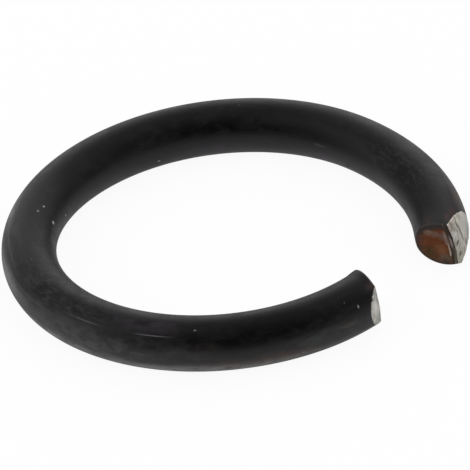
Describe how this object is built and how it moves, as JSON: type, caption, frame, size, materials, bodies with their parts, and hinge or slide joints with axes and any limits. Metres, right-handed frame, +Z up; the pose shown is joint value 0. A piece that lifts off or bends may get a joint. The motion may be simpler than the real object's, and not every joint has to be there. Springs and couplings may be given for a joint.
{
  "type": "retaining ring",
  "caption": "Open ring of round spring-steel wire that snaps over a shaft or into a groove to hold a part in place, with one leg sprung open and both ends cut.",
  "frame": {"origin": "axis of the ring's round part, on the surface that the ring lies on", "axes": "+Z up along the ring's axis, +X towards the gap between its ends, +Y towards the leg that has sprung open"},
  "size_m": [0.0168, 0.0164, 0.002],
  "materials": {
    "blackened_steel": "black oxide, satin, bare bright steel at the broken ends"
  },
  "bodies": {
    "root": {"retaining_ring": "blackened_steel"}
  },
  "joints": []
}
